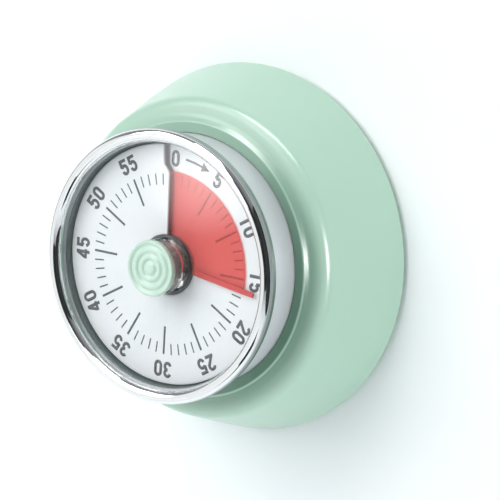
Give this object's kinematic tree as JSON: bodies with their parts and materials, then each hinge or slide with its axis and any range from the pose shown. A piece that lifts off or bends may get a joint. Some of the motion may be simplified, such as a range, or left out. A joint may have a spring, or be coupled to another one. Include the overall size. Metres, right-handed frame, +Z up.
{
  "type": "kitchen timer",
  "caption": "Round wind-up magnetic kitchen timer: flared body, chrome bezel, cut dial with a red remaining-time film, clear knob, and its clockwork, gong and magnet.",
  "frame": {"origin": "centre of the magnet's rear face, on the wall that the timer hangs on", "axes": "+Y into the wall, -Y out of the dial along the knob's axis, +Z up through the dial's 0 mark, +X to the right as the dial is read"},
  "size_m": [0.07, 0.0316, 0.07],
  "materials": {
    "mint_lacquer": "gloss lacquer",
    "satin_drum": "fine satin",
    "bezel_chrome": "polished",
    "lens_clear": "polished",
    "dial_white": "matt, printed dark grey",
    "seat_white": "matt moulding",
    "film_red": "clear tinted film",
    "pointer_red": "smooth",
    "hub_dark": "satin",
    "knob_clear": "polished acrylic",
    "cap_mint": "semi-gloss",
    "brass": "rolled sheet",
    "steel": "turned or stamped",
    "spring_blue": "blued spring steel",
    "cover_black": "satin black",
    "magnet_black": "sintered ferrite",
    "foot_rubber": "matt"
  },
  "bodies": {
    "timer_body": {"body_shell": "mint_lacquer", "drum": "satin_drum", "bezel": "bezel_chrome", "lens": "lens_clear", "dial_plate": "dial_white", "dial_seat": "seat_white", "front_plate": "brass", "rear_plate": "brass", "front_bush": "brass", "rear_bush": "brass", "pillar_1": "steel", "pillar_2": "steel", "pillar_3": "steel", "pillar_screw_1": "steel", "pillar_screw_2": "steel", "pillar_screw_3": "steel", "cover_post_1": "steel", "cover_post_2": "steel", "cover_post_3": "steel", "cover_screw_1": "steel", "cover_screw_2": "steel", "cover_screw_3": "steel", "drum_screw_1": "steel", "drum_screw_2": "steel", "drum_screw_3": "steel", "mainspring": "spring_blue", "spring_post": "steel", "rear_cover": "cover_black", "magnet_cup": "steel", "disc_magnet": "magnet_black", "foot_ring": "foot_rubber", "gong_spacer": "brass", "gong": "steel", "gong_screw": "steel", "hammer_pin": "steel", "hammer_spring": "spring_blue"},
    "knob": {"knob_body": "knob_clear", "knob_cap": "cap_mint", "main_arbor": "steel", "clutch_washer": "steel", "clutch_collar": "brass", "alarm_cam": "brass"},
    "film": {"red_film": "film_red", "film_hub": "hub_dark", "film_pointer": "pointer_red"},
    "great": {"great_wheel": "brass"},
    "second": {"second_wheel": "brass", "second_arbor": "steel"},
    "third": {"third_wheel": "brass", "third_arbor": "steel"},
    "escape": {"escape_wheel": "brass", "escape_arbor": "steel"},
    "pallets": {"pallet_lever": "steel", "pallet_arbor": "steel"},
    "hammer": {"hammer_arm": "steel"}
  },
  "joints": [
    {"name": "set_time", "type": "hinge", "parent": "timer_body", "child": "knob", "pos_m": [0, 0, 0], "axis": [0, 1, 0], "range_deg": [-98.4, 261.6], "deforming": ["mainspring"]},
    {"name": "film_lift", "type": "slide", "parent": "knob", "child": "film", "axis": [0, -1, 0], "range_m": [-0.00036, 0.00094]},
    {"name": "great_turn", "type": "hinge", "parent": "timer_body", "child": "great", "pos_m": [0, 0, 0], "axis": [0, 1, 0], "continuous": true},
    {"name": "second_turn", "type": "hinge", "parent": "timer_body", "child": "second", "pos_m": [-0.01039, 0, 0.006], "axis": [0, 1, 0], "continuous": true},
    {"name": "third_turn", "type": "hinge", "parent": "timer_body", "child": "third", "pos_m": [-0.01201, 0, -0.00265], "axis": [0, 1, 0], "continuous": true},
    {"name": "escape_turn", "type": "hinge", "parent": "timer_body", "child": "escape", "pos_m": [-0.00844, 0, -0.00936], "axis": [0, 1, 0], "continuous": true},
    {"name": "pallet_beat", "type": "hinge", "parent": "timer_body", "child": "pallets", "pos_m": [-0.00405, 0, -0.01214], "axis": [0, 1, 0], "range_deg": [-5, 5]},
    {"name": "hammer_swing", "type": "hinge", "parent": "timer_body", "child": "hammer", "pos_m": [0.01694, 0, 0.00299], "axis": [0, 1, 0], "range_deg": [0, 5], "stiffness_Nm_per_rad": 0.001, "springref_deg": -5.73, "deforming": ["hammer_spring"]}
  ],
  "couplings": [
    {"joint": "film_lift", "follows": "set_time", "m_per_rad": 0.0002069},
    {"joint": "second_turn", "follows": "great_turn", "ratio": -7.5},
    {"joint": "third_turn", "follows": "great_turn", "ratio": 46.875},
    {"joint": "escape_turn", "follows": "great_turn", "ratio": -246.09}
  ]
}
